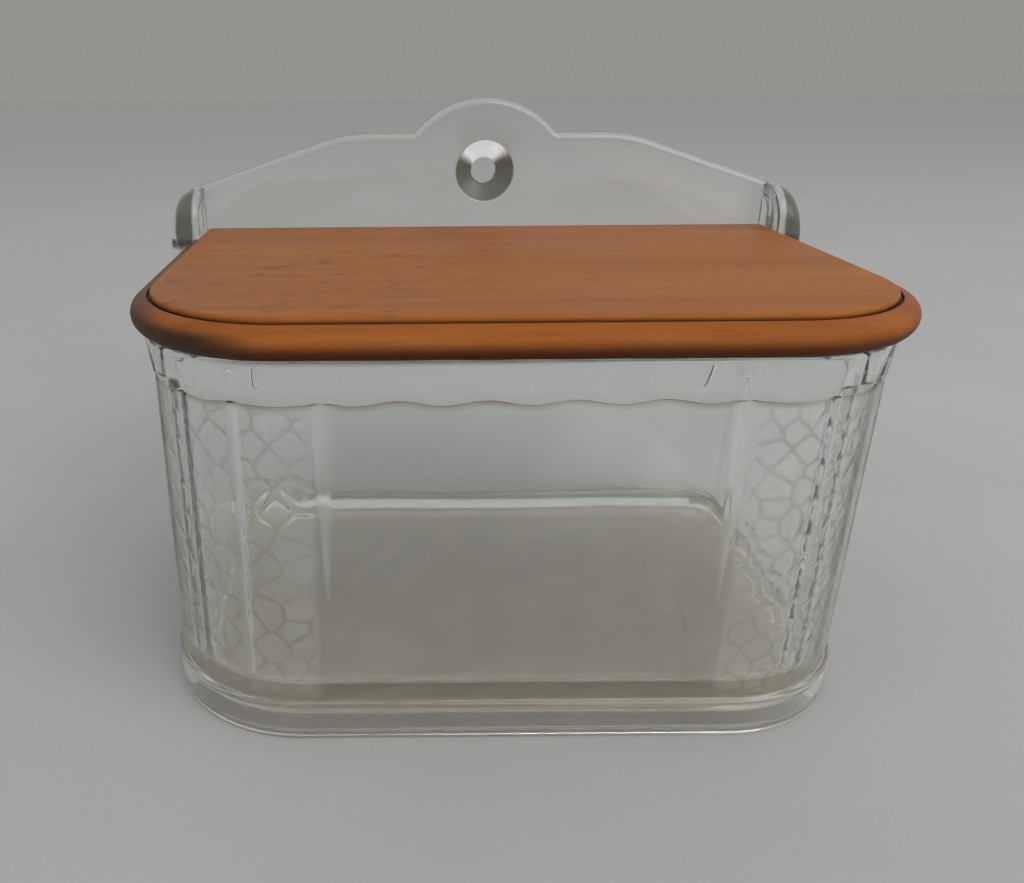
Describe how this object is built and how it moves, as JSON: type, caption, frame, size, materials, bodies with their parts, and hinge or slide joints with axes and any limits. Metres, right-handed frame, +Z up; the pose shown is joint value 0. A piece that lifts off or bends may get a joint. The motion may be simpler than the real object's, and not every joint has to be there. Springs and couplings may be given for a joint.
{
  "type": "salt pot",
  "caption": "Pressed-glass salt pot for a wall or shelf: crested back plate with hanging hole, ribbed rounded corners and a hinged wooden flap lid.",
  "frame": {"origin": "centre of the bounding box's footprint, on the surface that the pot stands on", "axes": "+X to the right seen from the front, +Y towards the wall behind the back plate, +Z up"},
  "size_m": [0.188, 0.12, 0.1385],
  "materials": {
    "clear_glass": "fire-polished pressed glass with a faint green tint",
    "lid_wood": "old satin varnish on a close-grained board",
    "pin_steel": "dull drawn wire"
  },
  "bodies": {
    "pot": {"glass_pot": "clear_glass"},
    "lid": {"lid_board": "lid_wood", "hinge_pin_left": "pin_steel", "hinge_pin_right": "pin_steel"}
  },
  "joints": [
    {"name": "lid_hinge", "type": "hinge", "parent": "pot", "child": "lid", "pos_m": [0, 0.0478, 0.09855], "axis": [-1, 0, 0], "range_deg": [0, 92]}
  ]
}
